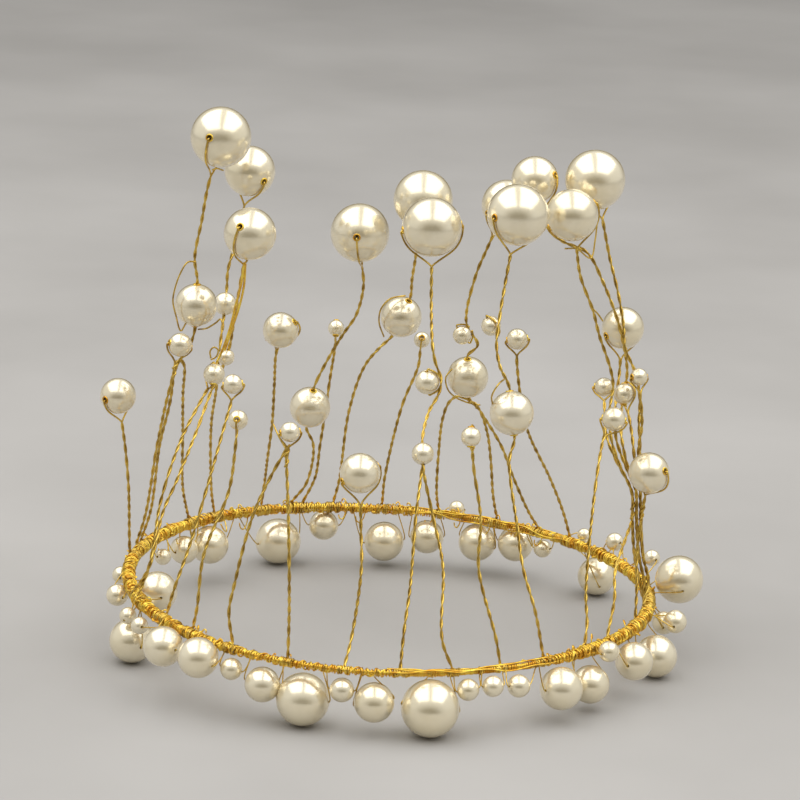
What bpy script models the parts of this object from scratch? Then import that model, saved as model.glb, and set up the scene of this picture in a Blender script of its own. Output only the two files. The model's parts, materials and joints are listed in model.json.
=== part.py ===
"""Small pearl crown: a wound wire hoop, pearls strung along its edge, and wire stems that carry more pearls.

Every length below is in millimetres and is scaled to metres when an object is made. Seen from the front,
X runs to the right, Y runs to the back and Z is up. Turns are degrees around Z, counted from +X.
"""
import math

import bpy
import bmesh
from mathutils import Matrix, Vector

MM = 0.001

# The hoop: a hand-bent ring, slightly oval, that falls a little towards +X.
HOOP_RADIUS = 60.1
HOOP_HEIGHT = 14.3
HOOP_FALL = 0.021
OVAL, OVAL_TURN = 0.025, 7.5
EGG, EGG_TURN = 0.017, 14.0
HOOP_STEP = 9.0
CORE_RADIUS = 0.6
WINDING_RADIUS = 1.1
WINDING_WALL = 0.25
WINDING_GAP_TURN = 98.0
WINDING_GAP = 1.1

# The wire, the way its foot goes round the hoop, and the way its tip holds a pearl.
GAP = 0.3
STEM_WIRE = 0.33
EXTRA_WIRE = 0.30
LOOP_WIRE = 0.22
STRAND_WIRE = 0.25
FOOT_STEPS = 5
FOOT_STEP = 50
FOOT_RADIUS = (WINDING_RADIUS + GAP + STEM_WIRE) / math.cos(math.radians(FOOT_STEP / 2))
FOOT_PITCH = 0.15
BORE_RADIUS = 0.65
BORE_LEAD = 1.2
LOOP_REACH = 0.9
LOOP_STEP = 30
LOOP_TURN_IN = 10
FORK_DROP = 1.9
FORK_SIDE = 0.95

# Facets of a turned or strung pearl, and of a small bead.
PEARL_SIDES = 10
PEARL_BANDS = 5
BEAD_SIDES = 6
BEAD_BANDS = 5
BEAD_LIMIT = 6.5

# Eight stems rise side by side as one bundle: its middle line, and the step between neighbours.
BUNDLE = [(60.5, -3.7, 19.5), (58.8, -5.2, 26.0), (57.6, -7.0, 35.5), (57.0, -8.0, 42.5)]
BUNDLE_STEP = 1.02

# The origin is below the middle of the whole crown, on the surface that it stands on.
ORIGIN = (3.11, -2.30, 0.0)

# Pearls that turn on the wire: x, y, z of the middle, and the diameter.
PEARLS = {
    "top_pearl_01": (-42.1, 2.0, 119.8, 14.0),
    "top_pearl_02": (-36.2, 22.0, 107.8, 12.0),
    "top_pearl_03": (-34.3, -8.0, 99.8, 12.0),
    "top_pearl_04": (-9.8, 24.0, 93.6, 14.0),
    "top_pearl_05": (4.8, 22.0, 102.7, 14.0),
    "top_pearl_06": (6.9, -14.0, 104.6, 13.5),
    "top_pearl_07": (24.6, 24.0, 101.9, 12.0),
    "top_pearl_08": (26.1, -14.0, 108.3, 14.0),
    "top_pearl_09": (30.4, 10.0, 111.3, 11.0),
    "top_pearl_10": (44.3, 10.0, 111.9, 14.0),
    "top_pearl_11": (38.8, -3.0, 106.3, 12.0),
    "mid_pearl_01": (-64.9, 8.0, 55.5, 8.5),
    "mid_pearl_02": (-46.9, 4.0, 79.4, 10.0),
    "mid_pearl_03": (-27.5, 16.0, 71.1, 8.5),
    "mid_pearl_04": (-20.5, 38.0, 46.1, 10.0),
    "mid_pearl_05": (0.8, 36.0, 70.4, 10.0),
    "mid_pearl_06": (-6.7, -43.0, 54.9, 9.0),
    "mid_pearl_07": (17.5, 30.0, 57.7, 10.0),
    "mid_pearl_08": (26.6, -28.0, 65.9, 10.0),
    "mid_pearl_09": (52.8, 10.0, 76.8, 10.0),
    "mid_pearl_10": (59.3, -14.0, 49.0, 9.5),
}

# Small beads that are twisted fast into their stems.
BEADS = {
    "b3": (-40.9, 18.0, 76.4, 5.5),
    "b4": (-49.9, -3.0, 71.6, 5.5),
    "b5": (-41.8, -4.0, 65.2, 5.0),
    "b6": (-39.5, 2.0, 67.8, 4.0),
    "b7": (-36.7, -18.0, 67.0, 4.5),
    "b8": (-34.6, -32.0, 62.7, 4.5),
    "b10": (-22.5, -44.0, 64.0, 4.5),
    "b12": (-14.9, 40.0, 65.8, 4.0),
    "b14": (6.1, 43.0, 63.0, 4.0),
    "b15": (7.3, -26.0, 71.7, 5.5),
    "b16": (7.0, -38.0, 58.5, 5.0),
    "b19": (15.6, 28.0, 68.6, 4.5),
    "b20": (21.2, -19.5, 83.7, 4.5),
    "b21": (28.3, 12.0, 72.5, 5.0),
    "b22": (17.5, -38.0, 62.9, 4.5),
    "b25": (49.0, 6.0, 63.4, 4.5),
    "b26": (53.3, -1.0, 63.9, 5.0),
    "b27": (56.3, -4.0, 69.0, 4.0),
    "b28": (50.6, -12.0, 60.9, 5.5),
}

# One row for each stem: the turn of its foot, the side of the hoop it leaves (1 outer, -1 inner),
# its slot in the bundle, its route, the pearl on its tip, and that pearl's bore as heading and tilt.
# A name in the route is a pearl that the wire runs straight through, or a bead that it is twisted around.
STEMS = {
    "stem_top_01": dict(foot=166.5, side=1, tip="top_pearl_01", bore=(-109, 9), route=[
        (-58.0, 11.0, 26.0), (-55.5, 8.0, 43.5), (-53.0, 5.0, 57.0), (-51.0, 4.5, 64.5), (-48.0, 4.0, 70.0),
        "mid_pearl_02", (-47.5, 4.0, 90.5), (-46.0, 3.0, 100.0), (-45.0, 3.0, 107.0)]),
    "stem_top_02": dict(foot=135.0, side=1, tip="top_pearl_02", bore=(-52, -13), route=[
        (-44.0, 36.0, 25.0), (-43.5, 20.0, 46.5), (-42.0, 11.0, 58.0), (-41.5, 12.5, 67.5), "b3",
        (-40.5, 19.0, 84.5), (-38.0, 22.0, 94.0)]),
    "stem_top_03": dict(foot=202.5, side=1, tip="top_pearl_03", bore=(-113, 27), route=[
        (-54.0, -21.0, 25.0), (-52.0, -15.0, 35.0), (-49.5, -12.0, 41.0), (-45.5, -6.0, 51.5),
        (-42.5, 1.0, 60.0), "b6", (-38.0, 0.0, 75.5), (-37.0, -3.0, 82.5), (-36.0, -6.0, 89.5)]),
    "stem_top_04": dict(foot=114.5, side=1, tip="top_pearl_04", bore=(-95, 4), route=[
        (-21.0, 50.0, 23.0), (-19.5, 43.0, 35.0), "mid_pearl_04", (-15.5, 34.0, 61.5),
        (-13.0, 32.0, 66.5), (-10.0, 30.0, 72.0), (-8.5, 27.0, 80.0)]),
    "stem_top_05": dict(foot=104.0, side=1, tip="top_pearl_05", bore=(-52, -16), route=[
        (-13.0, 54.0, 22.5), (-11.0, 44.0, 44.0), (-7.5, 39.0, 57.0), (-4.0, 38.0, 62.0), "mid_pearl_05",
        (3.0, 31.5, 80.9), (3.6, 28.0, 87.1)]),
    "stem_top_06": dict(foot=285.5, side=-1, tip="top_pearl_06", bore=(-169, -6), route=[
        (13.0, -55.0, 21.0), (12.5, -47.0, 35.5), (9.5, -42.0, 46.5), "b16", (8.0, -30.0, 66.0),
        (10.0, -27.5, 69.5), (10.4, -26.0, 72.5), (9.0, -25.0, 76.0), (8.2, -24.0, 79.5), (7.5, -19.0, 88.0)],
        beside=["b15"], extra=[dict(foot=274.0, side=-1, route=[(4.5, -55.0, 22.5), (5.5, -50.0, 32.0),
        (6.0, -44.0, 45.0),
                                                "b16"])]),
    "stem_top_07": dict(foot=63.0, side=1, tip="top_pearl_07", bore=(-141, -15), route=[
        (25.5, 47.0, 23.0), (24.5, 42.0, 32.5), (23.0, 37.0, 42.0), (20.5, 33.5, 49.0), "mid_pearl_07",
        (19.5, 29.0, 66.0), (16.5, 28.0, 71.5), (18.0, 26.0, 83.5), (20.5, 25.0, 91.0)], beside=["b19"],
        extra=[dict(foot=78.0, side=1, route=[(11.5, 51.0, 22.0), (11.5, 46.0, 33.0), (12.0, 41.0, 43.5),
                                              (13.5, 36.5, 49.5), (15.5, 34.5, 51.5), (18.0, 34.0, 50.8),
                                              (20.5, 33.5, 49.0)]),
               dict(foot=52.0, side=1, route=[(34.5, 45.0, 19.5), (30.0, 40.0, 30.0), (26.5, 36.5, 39.0),
                                              (20.5, 33.5, 49.0)])]),
    "stem_top_08": dict(foot=308.5, side=-1, tip="top_pearl_08", bore=(-140, 1), route=[
        (33.5, -46.0, 25.5), (30.5, -42.0, 34.0), (29.0, -38.0, 41.5), (26.5, -31.5, 56.0), "mid_pearl_08",
        (23.5, -26.0, 76.0), (22.5, -24.0, 80.5), (23.0, -21.0, 86.5), (24.0, -18.0, 94.0)], beside=["b20"]),
    "stem_top_09": dict(foot=0.0, side=-1, slot=(0, 0), tip="top_pearl_09", bore=(-29, 20), route=[
        (54.5, -7.0, 49.0), (53.0, -5.0, 55.0), (53.0, 0.0, 58.5), (53.5, 3.5, 63.0), (54.0, 3.5, 68.0),
        (51.5, 2.6, 79.0), (47.0, 4.0, 89.5), (43.0, 4.5, 96.0), (37.5, 5.5, 98.0), (33.5, 8.0, 101.0)]),
    "stem_top_10": dict(foot=5.4, side=-1, slot=(1, 1), tip="top_pearl_10", bore=(-117, -35), route=[
        (57.5, -5.5, 52.0), (57.0, -3.5, 58.0), (57.0, -1.5, 63.0), (56.0, 0.5, 68.0),
        (53.0, 1.4, 74.5), (52.5, 2.8, 79.0), (51.0, 5.0, 86.0), (48.5, 8.0, 94.5)]),
    "stem_top_11": dict(foot=-3.6, side=-1, slot=(-1, -1), tip="top_pearl_11", bore=(-168, -29), route=[
        (52.5, -8.0, 49.5), (50.5, -6.5, 55.0), (50.0, -4.0, 60.5), (50.5, -2.0, 67.0), (46.5, -2.0, 78.5),
        (45.0, -2.0, 83.5), (41.5, -2.5, 92.0)],
        extra=[dict(foot=330.0, side=-1, route=[(52.5, -24.0, 21.5), (52.5, -20.0, 26.5),
                                                (54.5, -14.0, 31.5)],
                    joins=2)]),
    "stem_mid_01": dict(foot=172.0, side=1, tip="mid_pearl_01", bore=(-131, -3), route=[
        (-61.5, 8.0, 19.0), (-62.0, 8.0, 33.0), (-63.0, 8.0, 43.0)]),
    "stem_mid_03": dict(foot=122.0, side=1, tip="mid_pearl_03", bore=(-17, 35), route=[
        (-31.5, 49.0, 22.5), (-30.7, 42.0, 31.0), (-29.5, 34.0, 42.5), (-29.0, 27.0, 54.4),
        (-28.7, 21.0, 63.0)]),
    "stem_mid_06": dict(foot=262.0, side=-1, tip="mid_pearl_06", bore=(-155, -20), route=[
        (-7.0, -55.0, 20.5), (-5.5, -50.0, 35.0), (-6.0, -46.0, 43.0)]),
    "stem_mid_09": dict(foot=3.6, side=-1, slot=(0, 1), tip="mid_pearl_09", bore=(-146, -16), route=[
        (54.5, -5.0, 47.5), (52.0, -3.5, 53.5), (51.5, -2.0, 58.0), (51.8, 3.0, 61.0), (52.5, 8.0, 66.0)]),
    "stem_mid_10": dict(foot=-7.2, side=-1, slot=(1, -1), tip="mid_pearl_10", bore=(-40, 18), keep=3, route=[],
        extra=[dict(foot=345.0, side=-1, route=[(58.3, -12.5, 20.0), (58.0, -9.5, 28.0)], joins=2)]),
    "stem_bead_04": dict(foot=163.5, side=1, tip="b4", route=[
        (-57.0, 13.0, 26.0), (-54.5, 3.0, 45.5), (-52.0, -1.0, 57.5), (-51.0, -3.0, 66.5)],
        extra=[dict(foot=143.0, side=1, route=[(-50.5, 28.0, 27.5), (-50.0, 16.0, 43.0), (-49.5, 5.0, 57.5),
                                               (-49.0, -1.5, 66.5), "b4"])]),
    "stem_bead_05": dict(foot=199.0, side=1, tip="b5", route=[
        (-54.5, -24.0, 24.0), (-53.5, -22.0, 29.5), (-52.5, -18.0, 38.0), (-48.5, -12.0, 51.5),
        (-43.0, -4.5, 62.0)]),
    "stem_bead_07": dict(foot=214.0, side=-1, tip="b7", route=[
        (-48.0, -34.0, 22.0), (-44.5, -30.0, 33.0), (-38.0, -20.0, 58.5), (-37.0, -18.0, 62.5)]),
    "stem_bead_08": dict(foot=224.0, side=-1, tip="b8", route=[
        (-42.0, -42.0, 21.5), (-41.0, -39.0, 33.0), (-36.0, -35.0, 47.0), (-35.0, -33.0, 56.0)]),
    "stem_bead_10": dict(foot=249.5, side=-1, tip="b10", route=[
        (-21.0, -54.0, 27.0), (-22.0, -49.0, 45.5), (-23.0, -45.0, 59.0)],
        extra=[dict(foot=236.0, side=-1, route=[(-34.5, -49.0, 23.0), (-33.5, -48.5, 29.5),
                                                (-30.0, -46.5, 45.0),
                                                (-26.0, -44.5, 54.5), "b10"])]),
    "stem_bead_12": dict(foot=111.5, side=1, tip="b12", route=[
        (-19.0, 53.0, 23.5), (-18.0, 49.0, 33.0), (-17.0, 46.0, 42.0), (-16.0, 44.5, 52.0),
        (-15.0, 41.5, 61.0)]),
    "stem_bead_14": dict(foot=92.0, side=1, tip="b14", route=[
        (-1.5, 53.0, 25.0), (2.0, 47.0, 45.0), (5.5, 44.0, 56.0)]),
    "stem_bead_21": dict(foot=43.0, side=1, tip="b21", route=[
        (43.0, 40.0, 21.0), (39.0, 34.0, 31.5), (32.5, 23.0, 46.5), (30.0, 15.0, 57.0), (28.5, 12.0, 67.0)]),
    "stem_bead_22": dict(foot=297.0, side=-1, tip="b22", route=[
        (25.0, -50.0, 20.0), (20.5, -45.0, 34.5), (20.5, -42.0, 45.0), (18.5, -39.0, 55.5)]),
    "stem_bead_25": dict(foot=-1.8, side=-1, slot=(-1, 0), tip="b25", route=[
        (52.0, -6.5, 49.5), (49.8, -4.0, 54.0), (49.2, 1.0, 58.5)]),
    "stem_bead_26": dict(foot=-5.4, side=-1, slot=(0, -1), tip="b26", route=[
        (56.0, -8.0, 51.5), (55.0, -5.0, 57.5)]),
    "stem_bead_27": dict(foot=1.8, side=-1, slot=(1, 0), tip="b27", route=[
        (57.0, -7.5, 52.5), (57.5, -6.5, 58.5)]),
    "stem_bead_28": dict(foot=321.5, side=-1, tip="b28", route=[
        (46.0, -33.0, 18.5), (45.5, -30.0, 25.0), (47.0, -19.0, 48.5), (48.5, -13.5, 57.0)]),
}

# Pearls strung on a wire along the edge of the hoop: the turns at which the wire is tied to the hoop at
# its two ends, then x, y, z and diameter of each pearl. One with height 0 is lifted until it rests there.
RIM_STRANDS = {
    "rim_strand_right": [
        (340.0, 33.0), (63.5, -15.6, 0.0, 10.0), (67.9, -10.5, 11.9, 5.5), (65.8, -3.5, 9.0, 5.5),
        (69.7, 7.0, 16.4, 11.5),
        (63.8, 19.0, 17.5, 4.0), (55.5, 32.0, 16.9, 4.5)],
    "rim_strand_back_right": [
        (38.0, 84.0), (52.1, 41.0, 0.0, 9.5), (48.5, 42.5, 14.8, 3.5), (38.6, 46.8, 9.4, 4.5),
        (32.0, 52.9, 8.4, 9.0),
        (22.4, 54.5, 7.8, 9.5), (16.9, 58.4, 15.2, 4.0), (9.7, 56.8, 7.9, 8.5)],
    "rim_strand_back_left": [
        (87.5, 157.0), (-1.1, 56.5, 6.3, 10.0), (-16.5, 57.7, 9.5, 7.5), (-27.8, 54.7, 0.0, 11.5),
        (-44.2, 39.6, 9.0, 9.5),
        (-50.1, 33.0, 9.6, 7.0), (-54.6, 24.0, 10.6, 4.0)],
    "rim_strand_left": [
        (178.0, 218.5), (-63.0, 3.5, 12.6, 4.2), (-62.6, -10.5, 12.5, 5.2), (-53.3, -9.8, 13.5, 9.5),
        (-58.9, -24.3, 12.4, 4.0),
        (-58.1, -21.0, 0.0, 10.5), (-55.7, -30.2, 12.3, 4.0), (-49.3, -43.5, 12.4, 9.2)],
    "rim_strand_front_left": [
        (229.0, 268.0), (-40.9, -51.6, 13.1, 9.2), (-33.4, -52.8, 11.2, 5.0), (-26.3, -55.0, 8.7, 8.0),
        (-17.2, -56.0, 0.0, 12.0),
        (-8.6, -59.7, 10.0, 5.5), (-1.4, -60.2, 7.6, 9.0)],
    "rim_strand_front_right": [
        (279.5, 336.0), (11.0, -59.5, 0.0, 13.0), (19.2, -57.5, 10.5, 5.0), (24.7, -56.0, 11.0, 4.8),
        (30.5, -53.5, 10.4, 5.2),
        (40.3, -47.0, 7.8, 9.8), (47.2, -39.0, 6.1, 8.8), (51.0, -38.0, 13.8, 4.8), (57.5, -29.0, 8.4, 8.8)],
}


def hoop_radius(turn):
    oval = OVAL * math.cos(2 * math.radians(turn - OVAL_TURN))
    egg = EGG * math.cos(3 * math.radians(turn - EGG_TURN))
    return HOOP_RADIUS * (1 + oval + egg)


def hoop_point(turn):
    radius = hoop_radius(turn)
    x = radius * math.cos(math.radians(turn))
    y = radius * math.sin(math.radians(turn))
    return Vector((x, y, HOOP_HEIGHT - HOOP_FALL * x))


def hoop_axes(turn):
    """The outward, along and upward directions at one turn of the hoop."""
    along = (hoop_point(turn + 0.5) - hoop_point(turn - 0.5)).normalized()
    outward = along.cross(Vector((0, 0, 1))).normalized()
    return outward, along, outward.cross(along)


def world(point):
    return (Vector(point) - Vector(ORIGIN)) * MM


def material(name, colour, metallic, roughness):
    made = bpy.data.materials.new(name)
    made.use_nodes = True
    shader = made.node_tree.nodes["Principled BSDF"]
    shader.inputs["Base Color"].default_value = (*colour, 1.0)
    shader.inputs["Metallic"].default_value = metallic
    shader.inputs["Roughness"].default_value = roughness
    made.diffuse_color = (*colour, 1.0)
    return made


def new_collection(name, hidden=False):
    made = bpy.data.collections.new(name)
    bpy.context.scene.collection.children.link(made)
    made.hide_render = hidden
    return made


def tube(name, points, radii, collection, sides, closed=False, capped=True):
    """A round wire along the points, as a mesh whose caps are welded on."""
    curve = bpy.data.curves.new(name, "CURVE")
    curve.dimensions = "3D"
    curve.bevel_depth = MM
    curve.bevel_resolution = sides // 2 - 2
    curve.use_fill_caps = capped
    spline = curve.splines.new("POLY")
    spline.points.add(len(points) - 1)
    for spot, point, radius in zip(spline.points, points, radii):
        spot.co = (*world(point), 1.0)
        spot.radius = radius
    spline.use_cyclic_u = closed
    rope = bpy.data.objects.new(name + "_curve", curve)
    bpy.context.scene.collection.objects.link(rope)
    bpy.context.view_layer.update()
    mesh = bpy.data.meshes.new_from_object(rope.evaluated_get(bpy.context.evaluated_depsgraph_get()))
    bpy.data.objects.remove(rope)
    shape = bmesh.new()
    shape.from_mesh(mesh)
    bmesh.ops.remove_doubles(shape, verts=shape.verts, dist=0.00001)
    bmesh.ops.recalc_face_normals(shape, faces=shape.faces)
    shape.to_mesh(mesh)
    shape.free()
    made = bpy.data.objects.new(name, mesh)
    collection.objects.link(made)
    return made


def ball(name, centre, diameter, heading, collection):
    """A pearl with its poles along a level heading. A facet is centred on its own X, which points down."""
    sides, bands = (BEAD_SIDES, BEAD_BANDS) if diameter < BEAD_LIMIT else (PEARL_SIDES, PEARL_BANDS)
    pole = Vector((heading[0], heading[1], 0)).normalized()
    down = Vector((0, 0, -1))
    turned = Matrix((down, pole.cross(down), pole)).transposed().to_4x4()
    shape = bmesh.new()
    bmesh.ops.create_uvsphere(shape, u_segments=sides, v_segments=bands, radius=diameter / 2 * MM,
                              matrix=Matrix.Translation(world(centre)) @ turned)
    mesh = bpy.data.meshes.new(name)
    shape.to_mesh(mesh)
    shape.free()
    made = bpy.data.objects.new(name, mesh)
    collection.objects.link(made)
    return made


def join(body, others):
    for other in others:
        step = body.modifiers.new(other.name, "BOOLEAN")
        step.operation = "UNION"
        step.solver = "EXACT"
        step.object = other


def foot_points(turn, side, rise):
    """A wire that goes round the hoop and leaves it upwards (rise 1) or downwards (rise -1)."""
    outward, along, up = hoop_axes(turn)
    points = []
    for step in range(FOOT_STEPS + 1):
        angle = math.radians(FOOT_STEP * (step - FOOT_STEPS))
        spoke = outward * side * math.cos(angle) + up * rise * math.sin(angle)
        shift = FOOT_PITCH * (step - FOOT_STEPS / 2)
        points.append(hoop_point(turn) + spoke * FOOT_RADIUS + along * shift)
    return points


def arm_points(centre, radius, neck, heading):
    """One arm of a loop, from beside the neck of a pearl round to the mouth of its bore."""
    aside = (heading - neck * heading.dot(neck)).normalized()
    span = neck.angle(heading)
    count = max(2, round(math.degrees(span) / LOOP_STEP))
    turns = [span * step / count for step in range(1, count)] + [span - math.radians(LOOP_TURN_IN)]
    reach = radius + LOOP_REACH
    arm = [centre + reach * (neck * math.cos(turn) + aside * math.sin(turn)) for turn in turns]
    return arm + [centre + heading * reach]


def loop_points(centre, radius, last, axis):
    """The wire from a fork below a pearl, round it, through its bore and back to beside the fork."""
    neck = (last - centre).normalized()
    fork = centre + neck * (radius + FORK_DROP)
    there = arm_points(centre, radius, neck, axis)
    back = arm_points(centre, radius, neck, -axis)
    aside = (-axis + neck * axis.dot(neck)).normalized()
    return [fork] + there + back[::-1] + [fork + aside * FORK_SIDE]


def heading_axis(heading, tilt):
    level = math.cos(math.radians(tilt))
    return Vector((level * math.cos(math.radians(heading)), level * math.sin(math.radians(heading)),
                   math.sin(math.radians(tilt))))


def route_points(route, bores):
    """The points of a route, with a straight run through each pearl that it threads."""
    points = []
    for place, item in enumerate(route):
        if item in PEARLS:
            centre, radius = Vector(PEARLS[item][:3]), PEARLS[item][3] / 2
            axis = (Vector(route[place + 1]) - Vector(route[place - 1])).normalized()
            bores[item] = axis
            points += [centre - axis * (radius + BORE_LEAD), centre + axis * (radius + BORE_LEAD)]
        elif item in BEADS:
            points.append(Vector(BEADS[item][:3]))
        else:
            points.append(Vector(item))
    return points


def bundle_points(stem):
    if "slot" not in stem:
        return []
    col, row = stem["slot"]
    points = [Vector(point) + Vector((col, row, 0)) * BUNDLE_STEP for point in BUNDLE]
    return points[:stem.get("keep", len(points))]


def nearest_point(points, target):
    best = points[0]
    for start, end in zip(points, points[1:]):
        run = end - start
        share = min(1, max(0, (target - start).dot(run) / run.length_squared))
        spot = start + run * share
        if (spot - target).length < (best - target).length:
            best = spot
    return best


def bead_ball(name, near, cutters):
    centre = Vector(BEADS[name][:3])
    heading = centre - near
    if Vector((heading.x, heading.y)).length < 0.1:
        heading = Vector((1, 0, 0))
    return ball(name, centre, BEADS[name][3], heading, cutters)


def make_stem(name, stem, crown, cutters, bores):
    bundle = bundle_points(stem)
    foot = foot_points(stem["foot"], stem["side"], 1)
    points = foot + bundle + route_points(stem["route"], bores)
    radii = [STEM_WIRE] * len(points)
    tip = stem["tip"]
    if tip in PEARLS:
        centre, radius = Vector(PEARLS[tip][:3]), PEARLS[tip][3] / 2
        bores[tip] = heading_axis(*stem["bore"])
        loop = loop_points(centre, radius, points[-1], bores[tip])
        points += loop
        radii += [STEM_WIRE] + [LOOP_WIRE] * (len(loop) - 1)
    else:
        points.append(Vector(BEADS[tip][:3]))
        radii.append(STEM_WIRE)
    body = tube(name, points, radii, crown, 6)
    joined = []
    for item in stem["route"] + [tip]:
        if item in BEADS:
            near = points[points.index(Vector(BEADS[item][:3])) - 1]
            joined.append(bead_ball(item, near, cutters))
    for item in stem.get("beside", []):
        centre = Vector(BEADS[item][:3])
        near = nearest_point(points, centre)
        joined.append(bead_ball(item, near, cutters))
        joined.append(tube(item + "_link", [near, centre], [LOOP_WIRE] * 2, cutters, 6))
    for place, extra in enumerate(stem.get("extra", [])):
        side_route = foot_points(extra["foot"], extra["side"], 1) + route_points(extra["route"], bores)
        if "joins" in extra:
            side_route.append(bundle[extra["joins"]])
        joined.append(tube(f"{name}_foot_{place}", side_route, [EXTRA_WIRE] * len(side_route), cutters, 6))
    join(body, joined)
    return body


def make_strand(name, strand, crown, cutters):
    (first_turn, last_turn), pearls = strand[0], strand[1:]
    centres = []
    for x, y, z, diameter in pearls:
        sides, bands = (BEAD_SIDES, BEAD_BANDS) if diameter < BEAD_LIMIT else (PEARL_SIDES, PEARL_BANDS)
        lowest = diameter / 2 * math.cos(math.pi / sides) * math.cos(math.pi / bands / 2)
        centres.append(Vector((x, y, max(z, lowest))))
    start, end = foot_points(first_turn, 1, -1), foot_points(last_turn, 1, -1)
    points = start + centres + end[::-1]
    body = tube(name, points, [STRAND_WIRE] * len(points), crown, 6)
    run = start[-1:] + centres + end[-1:]
    joined = []
    for place, centre in enumerate(centres):
        heading = run[place + 2] - run[place]
        joined.append(ball(f"{name}_{place}", centre, pearls[place][3], heading, cutters))
    join(body, joined)
    return body


def make_pearl(name, crown, bores):
    """A bored pearl turned around its own Z, which lies along its bore."""
    x, y, z, diameter = PEARLS[name]
    radius = diameter / 2
    edge = math.asin(BORE_RADIUS / radius)
    shape = bmesh.new()
    rows = []
    for band in range(PEARL_BANDS + 1):
        angle = edge + (math.pi - 2 * edge) * band / PEARL_BANDS
        spot = Vector((radius * math.sin(angle), 0, radius * math.cos(angle)))
        rows.append(shape.verts.new(spot * MM))
    for top, below in zip(rows, rows[1:] + rows[:1]):
        shape.edges.new((top, below))
    mesh = bpy.data.meshes.new(name)
    shape.to_mesh(mesh)
    shape.free()
    made = bpy.data.objects.new(name, mesh)
    crown.objects.link(made)
    turning = made.modifiers.new("turned", "SCREW")
    turning.axis = "Z"
    turning.angle = 2 * math.pi
    turning.steps = PEARL_SIDES
    turning.render_steps = PEARL_SIDES
    turning.use_merge_vertices = True
    turning.merge_threshold = 0.00001
    turning.use_normal_calculate = True
    made.location = world((x, y, z))
    made.rotation_mode = "QUATERNION"
    made.rotation_quaternion = Vector((0, 0, 1)).rotation_difference(bores[name])
    return made


def make_hoop(crown):
    turns = [WINDING_GAP_TURN + HOOP_STEP * step for step in range(round(360 / HOOP_STEP))]
    core = tube("hoop_core", [hoop_point(turn) for turn in turns], [CORE_RADIUS] * len(turns), crown, 6,
                closed=True)
    edge = math.degrees(WINDING_GAP / 2 / hoop_radius(WINDING_GAP_TURN))
    run = [turns[0] + edge] + turns[1:] + [turns[0] + 360 - edge]
    winding = tube("hoop_winding", [hoop_point(turn) for turn in run], [WINDING_RADIUS] * len(run), crown, 6,
                   capped=False)
    wall = winding.modifiers.new("wall", "SOLIDIFY")
    wall.thickness = WINDING_WALL * MM
    wall.offset = -1
    return core, winding


def main():
    for old in list(bpy.data.objects):
        bpy.data.objects.remove(old)
    crown = new_collection("crown")
    cutters = new_collection("crown_joined_shapes", hidden=True)
    pearl = material("pearl", (0.86, 0.79, 0.68), 0.0, 0.16)
    wire = material("gold_wire", (0.80, 0.56, 0.20), 1.0, 0.28)
    winding = material("gold_winding", (0.78, 0.50, 0.14), 1.0, 0.34)

    made = [(part, winding) for part in make_hoop(crown)]
    made += [(make_strand(name, strand, crown, cutters), pearl) for name, strand in RIM_STRANDS.items()]
    bores = {}
    made += [(make_stem(name, stem, crown, cutters, bores), wire) for name, stem in STEMS.items()]
    made += [(make_pearl(name, crown, bores), pearl) for name in PEARLS]
    for part, finish in made:
        part.data.materials.clear()
        part.data.materials.append(finish)
    for shape in cutters.objects:
        shape.display_type = "WIRE"
        shape.hide_render = True


main()
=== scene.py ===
"""Looks of a small pearl crown: bored pearls, twisted gold wire stems and a hand-wound wire hoop.

The tables repeat the design of the CAD part, in millimetres. Turns are degrees around Z, counted from +X.
"""
import json
import math

import bpy
import numpy as np
from mathutils import Matrix, Vector


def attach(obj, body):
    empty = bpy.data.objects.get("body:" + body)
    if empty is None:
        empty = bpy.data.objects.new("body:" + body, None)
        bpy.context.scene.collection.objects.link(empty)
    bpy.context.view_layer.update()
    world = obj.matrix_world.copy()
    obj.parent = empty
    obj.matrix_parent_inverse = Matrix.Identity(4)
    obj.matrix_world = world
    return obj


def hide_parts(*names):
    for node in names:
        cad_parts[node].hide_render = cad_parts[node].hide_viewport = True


MM = 0.001
ROOT = "crown_frame"
RNG = np.random.default_rng(413)

# The hoop's middle line, as in the CAD part.
HOOP_RADIUS = 60.1
HOOP_HEIGHT = 14.3
HOOP_FALL = 0.021
OVAL, OVAL_TURN = 0.025, 7.5
EGG, EGG_TURN = 0.017, 14.0

# Radii and spacings of the wires and of the bores. A pearl is a bead below BEAD_LIMIT in diameter.
BEAD_LIMIT = 6.5
CORE_WIRE = 0.42
COIL_WIRE = 0.195
COIL_RADIUS = 0.90
COIL_PITCH = 0.56
OVER_RADIUS = 1.18
TWIST_WIRE = 0.225
TWIST_OFFSET = 0.21
TWIST_PITCH = 5.4
ARM_WIRE = 0.235
ARM_CLEAR = 0.12
FOOT_RADIUS = 1.36
FOOT_PITCH = 0.55
FORK_DROP = 1.9
BEAD_FORK_DROP = 1.3
BORE = 0.62
BEAD_BORE = 0.5
STRAND_BORE = 0.28
LIP = 0.12
STRAND_WIRE = 0.14
LOOSE_WIRE = 0.20
BRIGHT_WIRE = 0.29
STRAY_WIRE = 0.17
RING_WIRE = 0.20
RING_GAP = 0.14
TIE_RADIUS = 0.62
CURVE_STEP = 0.3
STEM_STEP = 0.32

# How thick the winding is around the hoop: turn, and share of the full thickness.
GIRTH = [(0, 1.10), (20, 1.05), (40, 0.95), (55, 0.85), (80, 0.88), (95, 1.0), (150, 1.08), (185, 1.15),
         (212, 1.12),
         (230, 0.90), (250, 0.74), (262, 0.68), (300, 0.63), (311, 0.75), (321, 1.0), (345, 1.10),
         (360, 1.10)]
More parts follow.
